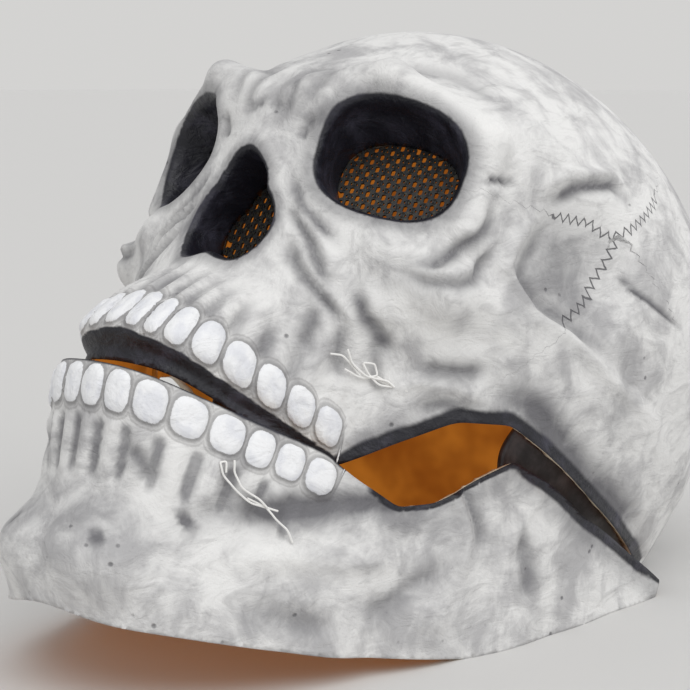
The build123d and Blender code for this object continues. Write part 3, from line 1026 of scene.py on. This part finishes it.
# %% Castings
def casting(name, skin, raised, normals, faces, marks):
    piece = add_object(name, *thicken(skin, raised, normals, faces, WALL))
    for mark, values in marks.items():
        layer = piece.data.attributes.new(mark, "FLOAT", "POINT")
        layer.data.foreach_set("value", np.concatenate([values, values]))
    print(name, len(piece.data.polygons), "faces")
    return piece


skull = casting("skull_casting", skull_skin, skull_raised, skull_normals, skull_faces, skull_marks)
jaw = casting("jaw_casting", jaw_skin, jaw_raised, jaw_normals, jaw_faces, jaw_marks)

# %% [markdown]
# ## Paint
# The latex is dipped pale, airbrushed grey, and its openings are sprayed almost black with a violet
# tint. The teeth are brushed on last in thick white, so their edges are ragged. The tooth's outline is
# a shader group, with the same sums as the relief above. Cloudy mottling is another group, which the
# bare latex, the net and the webs share.

# %% Tooth outline as a shader group
inputs = [("Place", "Float"), ("Reach", "Float")]
tooth_group, given, result = new_group("tooth_outline", "ShaderNodeTree", inputs, ("Inside", "Float"))
place, reach = Value(tooth_group, given.outputs["Place"]), Value(tooth_group, given.outputs["Reach"])
across = abs(place.calc("FRACT", place) - 0.5) / TOOTH_HALF_WIDE
along = abs(reach - 0.5) / TOOTH_HALF_HIGH
inside = 1.0 - (across**TOOTH_SQUARE + along**TOOTH_SQUARE) ** (1 / TOOTH_SQUARE)
feed(tooth_group, result.inputs["Inside"], inside)
print("tooth outline nodes:", len(tooth_group.nodes))

# %% Painted latex
painted, tree, shader = new_material("painted_latex", 0.5, (0.6, 0.59, 0.58))
patches = noise(tree, 26, 5, 0.6, 0.8)
clouds = noise(tree, 70, 6, 0.62, 0.6)
streaks = noise(tree, 160, 5, 0.6, 1.2, (1, 0.35, 1))
grain = noise(tree, 900, 3, 0.6)

# off-white with airbrushed clouds, pale patches and grey hollows
wear = patches * 0.5 + clouds * 0.5
colour = mix_colour(wear.step(0.42, 0.62), (0.80, 0.795, 0.785), (0.46, 0.455, 0.46))
colour = mix_colour(streaks.step(0.5, 0.72) * 0.32, colour, (0.30, 0.295, 0.30))
pale = mark(tree, "pale") * clouds.step(0.36, 0.56)
colour = mix_colour(pale * 0.85, colour, (0.87, 0.865, 0.85))
cavity = mark(tree, "grey") * (clouds * 0.9 + 0.55)
colour = mix_colour(cavity.calc("MINIMUM", cavity, 0.92), colour, (0.13, 0.128, 0.14))

# stippled pits
everywhere = add_node(tree, "ShaderNodeTexCoord").outputs["Object"]
pits = add_node(tree, "ShaderNodeTexVoronoi", {"Vector": everywhere, "Scale": 170})
pit = Value(tree, pits.outputs["Distance"]).step(0.16, 0.05) * patches.step(0.56, 0.62)
colour = mix_colour(pit * 0.75, colour, (0.10, 0.10, 0.11))

# sutures, which zigzag along their paths
HALF_WAVE, SWING, WANDER = 1.9, 1.5, 5.0       # millimetres
along = mark(tree, "suture_along")
wave = along.calc("PINGPONG", along, HALF_WAVE) - HALF_WAVE / 2
zigzag = mark(tree, "suture_left") + (wave * SWING + (clouds - 0.5) * WANDER)
suture = abs(zigzag).step(0.6, 0.15)
colour = mix_colour(suture * 0.85, colour, (0.08, 0.08, 0.09))

# the stain round each tooth
marks = {"Place": mark(tree, "tooth_place"), "Reach": mark(tree, "tooth_reach")}
outline = add_node(tree, "ShaderNodeGroup", marks, node_tree=tooth_group)
ragged = (noise(tree, 700, 3, 0.7, 0.5, (1, 0.6, 0.4)) - 0.5) * 0.16
inside = Value(tree, outline.outputs["Inside"]) + ragged
colour = mix_colour(inside.step(-0.30, -0.02) * 0.55, colour, (0.16, 0.155, 0.16))
ring = inside.step(-0.36, -0.28) * inside.step(-0.18, -0.26)
colour = mix_colour(ring * 0.3, colour, (0.10, 0.09, 0.09))

# the sprayed dark, then the brushed white of the teeth
sprayed = (mark(tree, "dark") + (clouds - 0.5) * 0.5).step(0.30, 0.72)
black = mix_colour(clouds.step(0.45, 0.75), (0.008, 0.008, 0.014), (0.05, 0.048, 0.07))
colour = mix_colour(sprayed, colour, black)
strokes = noise(tree, 320, 2, 0.5, 0.3, (1, 0.5, 0.5)).step(0.4, 0.7)
white = mix_colour(strokes, (0.90, 0.905, 0.92), (0.78, 0.79, 0.83))
colour = mix_colour(inside.step(0.02, 0.07), colour, white)
feed(tree, shader.inputs["Base Color"], colour)
feed(tree, shader.inputs["Roughness"], sprayed * -0.12 + (clouds * 0.12 + 0.50))

bumps = streaks * 0.9 + grain * 0.12 + clouds * 1.1 - (suture * 0.5 + pit * 0.5)
bumps = bumps + inside.step(-0.10, 0.12) * 0.35
relief = add_node(tree, "ShaderNodeBump", {"Strength": 0.8, "Distance": 1.1 * MM, "Height": bumps})
feed(tree, shader.inputs["Normal"], relief.outputs[0])
print("painted latex nodes:", len(tree.nodes))

# %% Mottling as a shader group
MOTTLE_INPUTS = ("Scale", "Detail", "Roughness", "Start", "End")
inputs = [(name, "Float") for name in MOTTLE_INPUTS]
mottle_group, given, result = new_group("mottling", "ShaderNodeTree", inputs, ("Mask", "Float"))
inputs = {name: given.outputs[name] for name in MOTTLE_INPUTS[:3]}
inputs["Vector"] = add_node(mottle_group, "ShaderNodeTexCoord").outputs["Object"]
grains = add_node(mottle_group, "ShaderNodeTexNoise", inputs)
mask = Value(mottle_group, grains.outputs["Fac"]).step(given.outputs["Start"], given.outputs["End"])
feed(mottle_group, result.inputs["Mask"], mask)


def mottling(tree, *values):
    """The group placed in a material; values are its inputs in order."""
    node = add_node(tree, "ShaderNodeGroup", dict(zip(MOTTLE_INPUTS, values)), node_tree=mottle_group)
    return Value(tree, node.outputs["Mask"])


print("mottling inputs:", MOTTLE_INPUTS)

# %% Cut edge and bare inside
cut_edge, _, _ = new_material("cut_edge", 0.55, (0.62, 0.53, 0.40))
bare, tree, shader = new_material("bare_latex", 0.42, (0.42, 0.17, 0.025))
amber = mix_colour(mottling(tree, 30, 3, 0.55, 0.35, 0.65), (0.62, 0.27, 0.035), (0.34, 0.12, 0.015))
feed(tree, shader.inputs["Base Color"], amber)
feed(tree, shader.inputs["Emission Color"], amber)
shader.inputs["Emission Strength"].default_value = 0.3      # stands in for light that seeps through
print("materials:", [m.name for m in bpy.data.materials])

# %% Dress the castings
for piece, body, node in ((skull, "skull", "skull_shell"), (jaw, "jaw", "jaw_shell")):
    for material in (painted, cut_edge, bare):
        piece.data.materials.append(material)
    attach(piece, body)
    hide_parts(node)
    print(piece.name, "stands for", node)

# %% [markdown]
# ## Net
# The black net is a sheet of small round holes in a honeycomb. One cell, a six-sided plate with a round
# hole, is laid on every point of a staggered grid inside the border, and the copies are merged into one
# sheet. The wearer sees out through the holes, and the amber inside shows through them as bright dots.

# %% One cell of net
HOLE_PITCH, HOLE_RADIUS, NET_THICK = 2.6, 0.52, 0.8
CELL_SIDES = 12


def cell_mesh(pitch, hole):
    """Six-sided plate with a round hole, in metres."""
    points = []
    for k in range(CELL_SIDES):
        angle = 2 * math.pi * k / CELL_SIDES
        points.append((hole * math.cos(angle), hole * math.sin(angle), 0))
    for k in range(CELL_SIDES):
        angle = 2 * math.pi * k / CELL_SIDES
        from_corner = (angle - math.pi / 6) % (math.pi / 3) - math.pi / 6
        edge = pitch / 2 / math.cos(from_corner)
        points.append((edge * math.cos(angle), edge * math.sin(angle), 0))
    faces = []
    for k in range(CELL_SIDES):
        n = (k + 1) % CELL_SIDES
        faces.append((k, CELL_SIDES + k, CELL_SIDES + n, n))
    mesh = bpy.data.meshes.new("net_cell")
    mesh.from_pydata([(x * MM, y * MM, z * MM) for x, y, z in points], [], faces)
    return mesh


cell = bpy.data.objects.new("net_cell", cell_mesh(HOLE_PITCH, HOLE_RADIUS))
print("cell corners:", len(cell.data.vertices))

# %% Geometry nodes that lay the cells
ROWS = 25                   # enough to cover the widest net
MERGE = 0.05 * MM
inputs = [
    ("Cell", "Object"), ("Pitch", "Float"), ("Half width", "Float"), ("Half height", "Float"),
    ("Material", "Material"),
]
honeycomb, given, result = new_group("honeycomb_net", "GeometryNodeTree", inputs, ("Mesh", "Geometry"))


def geo(kind, node_inputs=None, **settings):
    return add_node(honeycomb, kind, node_inputs, **settings)


pitch = Value(honeycomb, given.outputs["Pitch"])
half_wide = Value(honeycomb, given.outputs["Half width"])
half_high = Value(honeycomb, given.outputs["Half height"])
lattice = geo("GeometryNodeMeshGrid", {
    "Vertices X": ROWS, "Vertices Y": ROWS,
    "Size X": pitch * (ROWS - 1), "Size Y": pitch * ((ROWS - 1) * math.sqrt(3) / 2),
})
index = Value(honeycomb, geo("GeometryNodeInputIndex").outputs[0])
shift = geo("ShaderNodeCombineXYZ", {0: index.calc("MODULO", index, 2.0) * 0.5 * pitch})
inputs = {"Geometry": lattice.outputs["Mesh"], "Offset": shift.outputs[0]}
stagger = geo("GeometryNodeSetPosition", inputs)
place = geo("ShaderNodeSeparateXYZ", {0: geo("GeometryNodeInputPosition").outputs[0]})
across, up = Value(honeycomb, place.outputs[0]), Value(honeycomb, place.outputs[1])
from_middle = (across / half_wide) ** 2.0 + (up / half_high) ** 2.0
outside = geo("FunctionNodeCompare", {0: from_middle, 1: 1.0}, operation="GREATER_THAN")
drop = geo("GeometryNodeDeleteGeometry", {"Geometry": stagger.outputs[0], "Selection": outside.outputs[0]})
source = geo("GeometryNodeObjectInfo", {"Object": given.outputs["Cell"]})
inputs = {"Points": drop.outputs[0], "Instance": source.outputs["Geometry"]}
copies = geo("GeometryNodeInstanceOnPoints", inputs)
real = geo("GeometryNodeRealizeInstances", {0: copies.outputs[0]})
merge = geo("GeometryNodeMergeByDistance", {"Geometry": real.outputs[0], "Distance": MERGE})
inputs = {"Geometry": merge.outputs[0], "Material": given.outputs["Material"]}
finish_net = geo("GeometryNodeSetMaterial", inputs)
feed(honeycomb, result.inputs[0], finish_net.outputs[0])
print("honeycomb nodes:", len(honeycomb.nodes))

# %% Net and cement materials
net_black, tree, shader = new_material("net", 0.55, (0.012, 0.012, 0.012))
flecks = mottling(tree, 1500, 2, 0.6, 0.58, 0.66)
feed(tree, shader.inputs["Base Color"], mix_colour(flecks, (0.010, 0.010, 0.011), (0.075, 0.06, 0.02)))
cement, _, _ = new_material("latex_cement", 0.35, (0.05, 0.035, 0.02))
print("net and cement:", net_black.name, cement.name)


# %% Laying a sheet of net
def baked(name, mesh, modifier_group, values):
    """Runs a geometry group on a carrier mesh, filling its inputs by name, and keeps the result."""
    carrier = bpy.data.objects.new(name + "_carrier", mesh)
    bpy.context.scene.collection.objects.link(carrier)
    modifier = carrier.modifiers.new("make", "NODES")
    modifier.node_group = modifier_group
    for item in modifier_group.interface.items_tree:
        if item.item_type == "SOCKET" and item.in_out == "INPUT" and item.name in values:
            modifier[item.identifier] = values[item.name]
    bpy.context.view_layer.update()
    evaluated = carrier.evaluated_get(bpy.context.evaluated_depsgraph_get())
    made = bpy.data.meshes.new_from_object(evaluated)
    bpy.data.objects.remove(carrier)
    return made


def placed_net(name, half_wide, half_high, to_upright):
    """A sheet of net with some thickness; to_upright carries (across, up, out) to upright places."""
    bpy.context.scene.collection.objects.link(cell)
    flat = baked(name, bpy.data.meshes.new(name), honeycomb, {
        "Cell": cell, "Pitch": HOLE_PITCH * MM,
        "Half width": half_wide * MM, "Half height": half_high * MM, "Material": net_black,
    })
    bpy.context.scene.collection.objects.unlink(cell)
    points = np.array([v.co for v in flat.vertices]) / MM
    faces = [tuple(p.vertices) for p in flat.polygons]
    front = to_upright(points[:, 0], points[:, 1], np.zeros(len(points)))
    back = to_upright(points[:, 0], points[:, 1], np.full(len(points), -NET_THICK))
    piece = add_object(name, *closed_sheet(front, back, faces))
    piece.data.materials.append(net_black)
    for polygon in piece.data.polygons:
        polygon.use_smooth = False
    return piece


def eye_upright(side):
    """The way from a place on one eye's net to upright places; side is -1 for the wearer's right."""
    def carry(across, up, out):
        middle = EYE - EYE_OUT * SOCKET_DEPTH
        points = middle + np.outer(across, EYE_ACROSS) + np.outer(up, EYE_UP) + np.outer(out, EYE_OUT)
        return points * [side, 1, 1]
    return carry


print("an eye net's middle:", eye_upright(1)([0.0], [0.0], [0.0]).round(1).tolist())


# %% Round bars and beads
def unit(vectors):
    return vectors / np.linalg.norm(vectors, axis=1)[:, None]


def tube(line, first, second, radius, sides, closed):
    """Round bar along a line of places; first and second are unit vectors across it at each place."""
    points, faces = [], []
    count = len(line)
    for i in range(count):
        for k in range(sides):
            angle = 2 * math.pi * k / sides
            points.append(line[i] + radius * (math.cos(angle) * first[i] + math.sin(angle) * second[i]))
    for i in range(count if closed else count - 1):
        n = (i + 1) % count
        for k in range(sides):
            m = (k + 1) % sides
            faces.append((i * sides + k, n * sides + k, n * sides + m, i * sides + m))
    if not closed:
        faces.append(tuple(range(sides)))
        faces.append(tuple(reversed(range((count - 1) * sides, count * sides))))
    return points, faces


def ring_bead(name, outline, radius):
    """A round bead along a closed line of upright places."""
    ahead = unit(np.roll(outline, -1, 0) - np.roll(outline, 1, 0))
    flat = unit(np.cross(ahead, unit(outline - outline.mean(0))))
    points, faces = tube(outline, np.cross(flat, ahead), -flat, radius, 8, True)
    return add_object(name, np.array(points), faces)


print("bars and beads are made of rings of places")

# %% The three nets and their beads of cement
BEAD_RADIUS, BEAD_STEPS = 0.7, 48
BEAD_OUT = np.full(BEAD_STEPS, -NET_THICK - 0.6)
round_turn = np.linspace(0, 2 * math.pi, BEAD_STEPS, endpoint=False)
for side, label in ((1, "left"), (-1, "right")):
    carry = eye_upright(side)
    net = placed_net(label + "_eye_net", SOCKET_BACK[0] + 1.4, SOCKET_BACK[1] + 1.4, carry)
    across = (SOCKET_BACK[0] + 1.6) * np.cos(round_turn)
    up = (SOCKET_BACK[1] + 1.6) * np.sin(round_turn)
    bead = ring_bead(label + "_eye_bead", carry(across, up, BEAD_OUT), BEAD_RADIUS)
    bead.data.materials.append(cement)
    eye_pair = ((net, label + "_eye_mesh", "net"), (bead, label + "_eye_mesh_bond", "latex_cement"))
    for piece, node, slot in eye_pair:
        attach(piece, "skull")
        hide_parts(node)


NOSE_NET_RISE = 2.0         # the nose net's middle, above the level of the nose's own


def nose_carry(across, up, out):
    """The nose net hangs upright at the back of the nose recess."""
    return np.stack([across, NOSE_FRONT + NOSE_DEPTH - out, up + NOSE_NET_RISE], 1)


nose_net = placed_net("nose_net", 13.8, 18.0, nose_carry)
from_top = np.degrees(np.abs((round_turn - math.pi / 2 + math.pi) % (2 * math.pi) - math.pi))
reach = np.interp(from_top, np.arange(181), nose_table)
rim = nose_carry(reach * np.cos(round_turn), reach * np.sin(round_turn) - NOSE_NET_RISE, BEAD_OUT)
nose_bead = ring_bead("nose_bead", rim, BEAD_RADIUS)
nose_bead.data.materials.append(cement)
for piece, node, slot in ((nose_net, "nose_mesh", "net"), (nose_bead, "nose_mesh_bond", "latex_cement")):
    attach(piece, "skull")
    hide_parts(node)
print("net holes in an eye:", len(net.data.polygons) // (CELL_SIDES * 3))

# %% [markdown]
# ## Soft parts
# Each web is a strip of thin latex bonded behind both castings, and it sinks a little between them.
# On the real mask it is fixed to the skull along its top and to the jaw along its bottom, so it stretches
# when the jaw swings, and the elastics inside the cheeks likewise; here both are shaped once, as they lie
# at rest. Both find the castings' insides by halving.

# %% Finding the inside of a casting
def wall_place(fields, y, z, depth):
    """x at which a place lies depth below the outside of every one of the fields."""
    y, z = np.asarray(y, float), np.asarray(z, float)
    near, far = np.full(y.shape, 15.0), np.full(y.shape, 95.0)
    for _ in range(26):
        middle = (near + far) / 2
        within = np.max([field(middle, y, z) for field in fields], axis=0) + depth < 0
        near, far = np.where(within, middle, near), np.where(within, far, middle)
    return near


def slab(grid, thickness):
    """A closed sheet whose front is a grid of places on the head's left, thickened inwards."""
    normals = np.cross(np.gradient(grid, axis=1), np.gradient(grid, axis=0))
    normals /= np.linalg.norm(normals, axis=2)[..., None]
    normals *= np.sign(normals[..., :1])
    rows, columns = grid.shape[:2]
    index = np.arange(rows * columns).reshape(rows, columns).tolist()
    faces = [
        (index[i][j], index[i + 1][j], index[i + 1][j + 1], index[i][j + 1])
        for i in range(rows - 1) for j in range(columns - 1)
    ]
    return closed_sheet(grid.reshape(-1, 3), (grid - normals * thickness).reshape(-1, 3), faces)


def on_side(points, faces, side):
    """The wearer's left piece as drawn, or its mirror image with its faces turned back."""
    if side > 0:
        return points, faces
    return points * [-1, 1, 1], [tuple(reversed(f)) for f in faces]


cheek_x = float(wall_place((skull_form,), -60.0, -20.0, 0))
print("half width of the skull at a cheek:", round(cheek_x, 1), "mm")

# %% Webs
WEB_THICK, WEB_LAP, WEB_SINK = 1.6, 5.0, 2.2
WEB_INSIDE = WALL + 0.6     # depth of its upper and lower edges below the castings' outside
WEB_CLEAR = 2.0             # its lower edge stands this high above the table
web_y = np.linspace(-32.0, 65.0, 70)
across_web = np.linspace(0, 1, 15)
web_top = np.interp(web_y, skull_edge[0], skull_edge[1]) + WEB_LAP
web_low = np.interp(web_y, jaw_top[0], jaw_top[1]) - WEB_LAP
lowest = HINGE_UPRIGHT[2] + ((web_y - HINGE_UPRIGHT[1]) * SIN - HINGE_MODEL[2] + WEB_CLEAR) / COS
web_low = np.maximum(web_low, lowest)
yy = np.repeat(web_y[:, None], len(across_web), 1)
zz = web_top[:, None] + (web_low - web_top)[:, None] * across_web[None, :]
sink = WEB_INSIDE + WEB_SINK * np.sin(math.pi * across_web)[None, :] * np.ones_like(yy)
xx = wall_place((skull_form, jaw_form), yy, zz, sink)
xx = 0.25 * np.roll(xx, 1, 0) + 0.5 * xx + 0.25 * np.roll(xx, -1, 0)
xx[0], xx[-1] = 2 * xx[1] - xx[2], 2 * xx[-2] - xx[-3]
web_points, web_faces = slab(np.stack([xx, yy, zz], -1), WEB_THICK)
web_latex, tree, shader = new_material("web_latex", 0.45, (0.02, 0.019, 0.026))
soot_clouds = mottling(tree, 90, 5, 0.6, 0.4, 0.75)
feed(tree, shader.inputs["Base Color"], mix_colour(soot_clouds, (0.010, 0.010, 0.015), (0.09, 0.088, 0.10)))
for side, label in ((1, "left"), (-1, "right")):
    web = add_object(label + "_web", *on_side(web_points, web_faces, side))
    web.data.materials.append(web_latex)
    top_end, low_end = [np.array([side * 72.0, 5.0, level]) for level in (-38.0, -50.0)]
    tuple(lay_back(top_end))
    tuple(lay_back(low_end))
    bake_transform(web)
    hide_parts(label + "_hinge_web")
print("web points:", len(web_points))

# %% Elastics
ELASTIC_WIDTH, ELASTIC_THICK = 9.0, 1.2
CHEEK_STITCH, ELASTIC_BEND, JAW_STITCH = (-82.0, -38.0), (-94.0, -65.5), (-104.0, -85.0)   # (y, z)
SEWN_DEPTH, BEND_DEPTH = 4.1, 11.6      # below the castings' outside
stops = np.array([
    (float(wall_place((form,), *place, depth)), *place)
    for form, place, depth in (
        (skull_form, CHEEK_STITCH, SEWN_DEPTH), (skull_form, ELASTIC_BEND, BEND_DEPTH),
        (jaw_form, JAW_STITCH, SEWN_DEPTH),
    )
])
way = np.linspace(0, 2, 41)
middle = np.stack([np.interp(way, [0, 1, 2], stops[:, k]) for k in range(3)], 1)
middle[1:-1] = 0.25 * middle[:-2] + 0.5 * middle[1:-1] + 0.25 * middle[2:]
flat_way = np.array([0.62, 0.78, 0.0])  # along the cheek, seen from above
flat_way /= np.linalg.norm(flat_way)
across_band = np.linspace(-ELASTIC_WIDTH / 2, ELASTIC_WIDTH / 2, 9)
band_grid = middle[:, None, :] + across_band[None, :, None] * flat_way[None, None, :]
band_points, band_faces = slab(band_grid, ELASTIC_THICK)
# The elastic is off-white; its colour here is painted darker, a painted shade for the shadow it lies in
# inside the cheek.
shaded_elastic, _, _ = new_material("woven_elastic", 0.8, (0.62, 0.61, 0.58))
for side, label in ((1, "left"), (-1, "right")):
    band = add_object(label + "_elastic", *on_side(band_points, band_faces, side))
    band.data.materials.append(shaded_elastic)
    ends = [np.array(stops[k]) * [side, 1, 1] for k in (0, 2)]
    tuple(lay_back(ends[0]))
    tuple(lay_back(ends[1]))
    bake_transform(band)
    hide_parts(label + "_jaw_elastic")
print("elastic stops:", stops.round(1).tolist())

# %% [markdown]
# ## Thread
# White thread holds each elastic's ends to the castings. The stitch is a short bar, and the ends of the
# thread were left as loose, curling tails that lie on the latex.

# %% Threads on the outside
THREAD_RADIUS = 0.33


def thread_tube(line):
    """Round thread along a line of upright places."""
    ahead = unit(np.gradient(line, axis=0))
    side_way = unit(np.cross(ahead, [0.3, 0.2, 1.0]))
    return tube(line, side_way, np.cross(ahead, side_way), THREAD_RADIUS, 6, False)


def lying_thread(field, start, steps, lift):
    """A smooth line that wanders over a casting; steps are (forwards, up) moves in millimetres."""
    y, z = start
    way = np.cumsum([(0.0, 0.0), *steps], axis=0)
    t = np.linspace(0, len(way) - 1, 12 * len(way))
    path = np.stack([np.interp(t, np.arange(len(way)), way[:, k]) for k in (0, 1)], 1)
    for _ in range(10):
        path[1:-1] = 0.25 * path[:-2] + 0.5 * path[1:-1] + 0.25 * path[2:]
    ys, zs = y - path[:, 0], z + path[:, 1]
    x = wall_place((field,), ys, zs, -lift)
    line = np.stack([x, ys, zs], 1)
    normals, _ = slope_of(field, line)
    return line + normals * (0.35 * np.sin(t * 2.1) ** 2)[:, None]


TAILS = {
    "cheek": (skull_form, CHEEK_STITCH, [
        [(-4.0, 0.5), (4.0, -0.4), (5.0, 0.6)],
        [(4, 1.5), (3, -2.5), (4, 2.5), (4, 1.5), (3, -1.0)],
        [(3, -1), (4, 2.5), (2, 2), (-3, 1), (-2, -3), (4, -2.5), (5, 0.5)],
        [(2, 1), (5, -1), (5, 2), (3, 3)],
    ]),
    "jaw": (jaw_form, JAW_STITCH, [
        [(-4.0, 0.4), (4.0, -0.3), (5.0, 0.5)],
        [(4, -0.5), (5, 2.0), (4, 2.5), (2, 3.0), (-1.5, 1.0), (-1, -3)],
        [(-3, -2.0), (-4, -1.5), (-3, -3.0)],
        [(3, 1.5), (5, 1.0), (3, 3.5), (1, 3)],
    ]),
}
thread_white, _, _ = new_material("thread", 0.75, (0.88, 0.87, 0.85))
for side, label in ((1, "left"), (-1, "right")):
    for where, (field, start, lines) in TAILS.items():
        points, faces = [], []
        for number, steps in enumerate(lines):
            more_points, more_faces = thread_tube(lying_thread(field, start, steps, 0.55 + 0.3 * number))
            faces += [tuple(k + len(points) for k in f) for f in more_faces]
            points += more_points
        thread = add_object(f"{label}_{where}_thread", *on_side(np.array(points), faces, side))
        thread.data.materials.append(thread_white)
        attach(thread, "skull" if where == "cheek" else "jaw")
        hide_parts(f"{label}_{where}_stitch")
print("threads laid:", 2 * len(TAILS))
